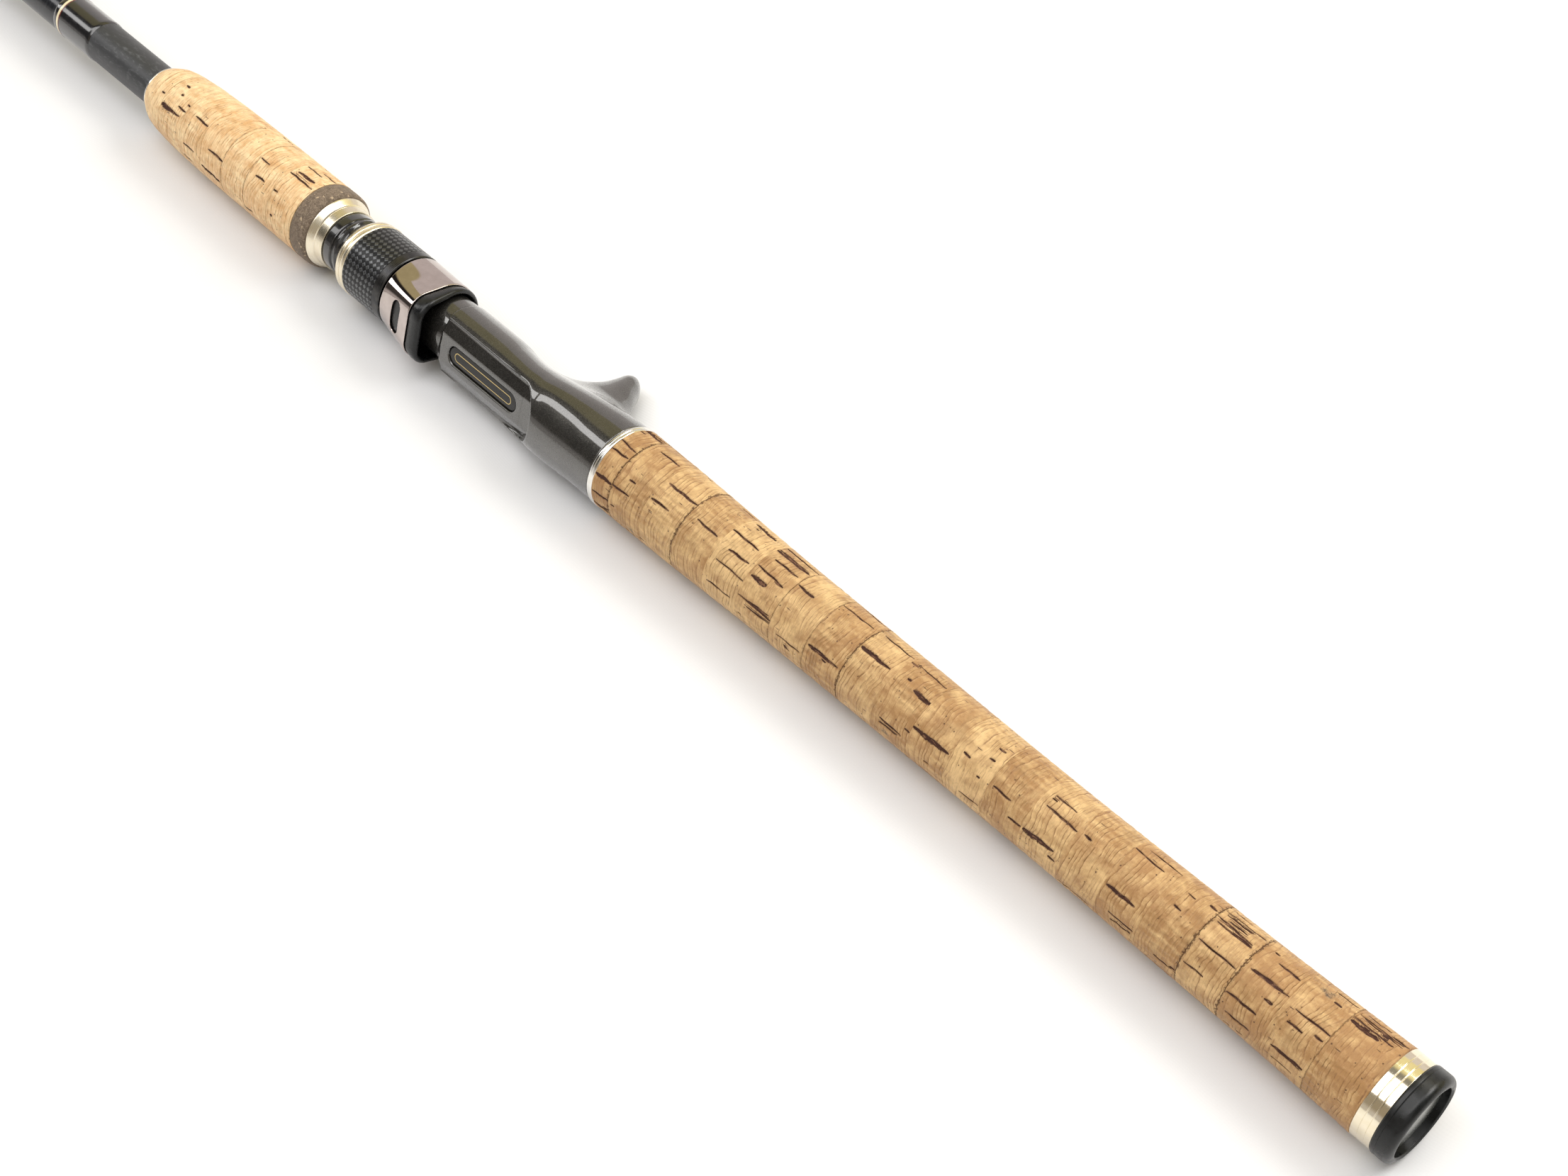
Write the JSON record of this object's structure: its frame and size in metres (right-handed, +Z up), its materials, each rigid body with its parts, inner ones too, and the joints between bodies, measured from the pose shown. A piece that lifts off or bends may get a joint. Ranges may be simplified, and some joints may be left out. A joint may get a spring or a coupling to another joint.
{
  "type": "fishing rod",
  "caption": "Casting fishing rod with a cork handle, trigger reel seat, sliding hood and threaded lock nut, tapered carbon blank and ceramic-lined line guides.",
  "frame": {"origin": "middle of the bounding box's bottom face, on the surface the rod lies on", "axes": "+X along the rod from the tip to the butt, +Z up, reel side facing -Y and a little up, trigger pointing to +Y"},
  "size_m": [1.9788, 0.0528, 0.0262],
  "materials": {
    "rear_cork": "satin",
    "fore_cork": "satin",
    "burl_cork": "matt",
    "black_rubber": "satin",
    "butt_plate": "satin",
    "champagne_metal": "polished",
    "silver_metal": "polished",
    "seat_paint": "gloss",
    "seat_plate": "gloss",
    "smoke_chrome": "mirror",
    "nut_core": "satin",
    "nut_dark_metal": "satin",
    "carbon_weave": "satin",
    "blank_carbon": "satin",
    "thread_wrap": "gloss",
    "guide_frame": "satin",
    "guide_ceramic": "gloss"
  },
  "bodies": {
    "rod": {"butt_cap": "black_rubber", "butt_plate": "butt_plate", "butt_ring": "champagne_metal", "rear_cork_01": "rear_cork", "rear_cork_02": "rear_cork", "rear_cork_03": "rear_cork", "rear_cork_04": "rear_cork", "rear_cork_05": "rear_cork", "rear_cork_06": "rear_cork", "rear_cork_07": "rear_cork", "rear_cork_08": "rear_cork", "rear_cork_09": "rear_cork", "rear_cork_10": "rear_cork", "rear_cork_11": "rear_cork", "rear_cork_12": "rear_cork", "rear_cork_13": "rear_cork", "rear_cork_14": "rear_cork", "rear_cork_15": "rear_cork", "rear_cork_16": "rear_cork", "rear_cork_17": "rear_cork", "rear_cork_18": "rear_cork", "rear_cork_19": "rear_cork", "rear_cork_20": "rear_cork", "rear_cork_21": "rear_cork", "rear_check": "silver_metal", "reel_seat": "seat_paint", "seat_plate": "seat_plate", "cone_check": "champagne_metal", "burl_ring": "burl_cork", "fore_cork_01": "fore_cork", "fore_cork_02": "fore_cork", "fore_cork_03": "fore_cork", "fore_cork_04": "fore_cork", "fore_cork_05": "fore_cork", "fore_cork_06": "fore_cork", "fore_cork_07": "fore_cork", "fore_check": "silver_metal", "blank": "blank_carbon", "tip_top_frame": "guide_frame", "guide_1_frame": "guide_frame", "guide_2_frame": "guide_frame", "guide_3_frame": "guide_frame", "guide_4_frame": "guide_frame", "guide_5_frame": "guide_frame", "guide_6_frame": "guide_frame", "guide_7_frame": "guide_frame", "tip_top_ring": "guide_ceramic", "guide_1_ring": "guide_ceramic", "guide_2_ring": "guide_ceramic", "guide_3_ring": "guide_ceramic", "guide_4_ring": "guide_ceramic", "guide_5_ring": "guide_ceramic", "guide_6_ring": "guide_ceramic", "guide_7_ring": "guide_ceramic"},
    "hood": {"hood_shell": "smoke_chrome", "hood_insert": "black_rubber"},
    "nut": {"nut_core": "nut_core", "nut_rear_ring": "nut_dark_metal", "nut_sleeve": "carbon_weave", "nut_front_ring": "champagne_metal"}
  },
  "joints": [
    {"name": "hood_slide", "type": "slide", "parent": "rod", "child": "hood", "axis": [1, 0, 0], "range_m": [-0.0075, 0.0045]},
    {"name": "nut_turn", "type": "hinge", "parent": "hood", "child": "nut", "pos_m": [0.60545, -0.00439, 0.01304], "axis": [1, 0, 0], "range_deg": [-905, 545]}
  ],
  "couplings": [
    {"joint": "nut_turn", "follows": "hood_slide", "rad_per_m": 2094.4}
  ]
}
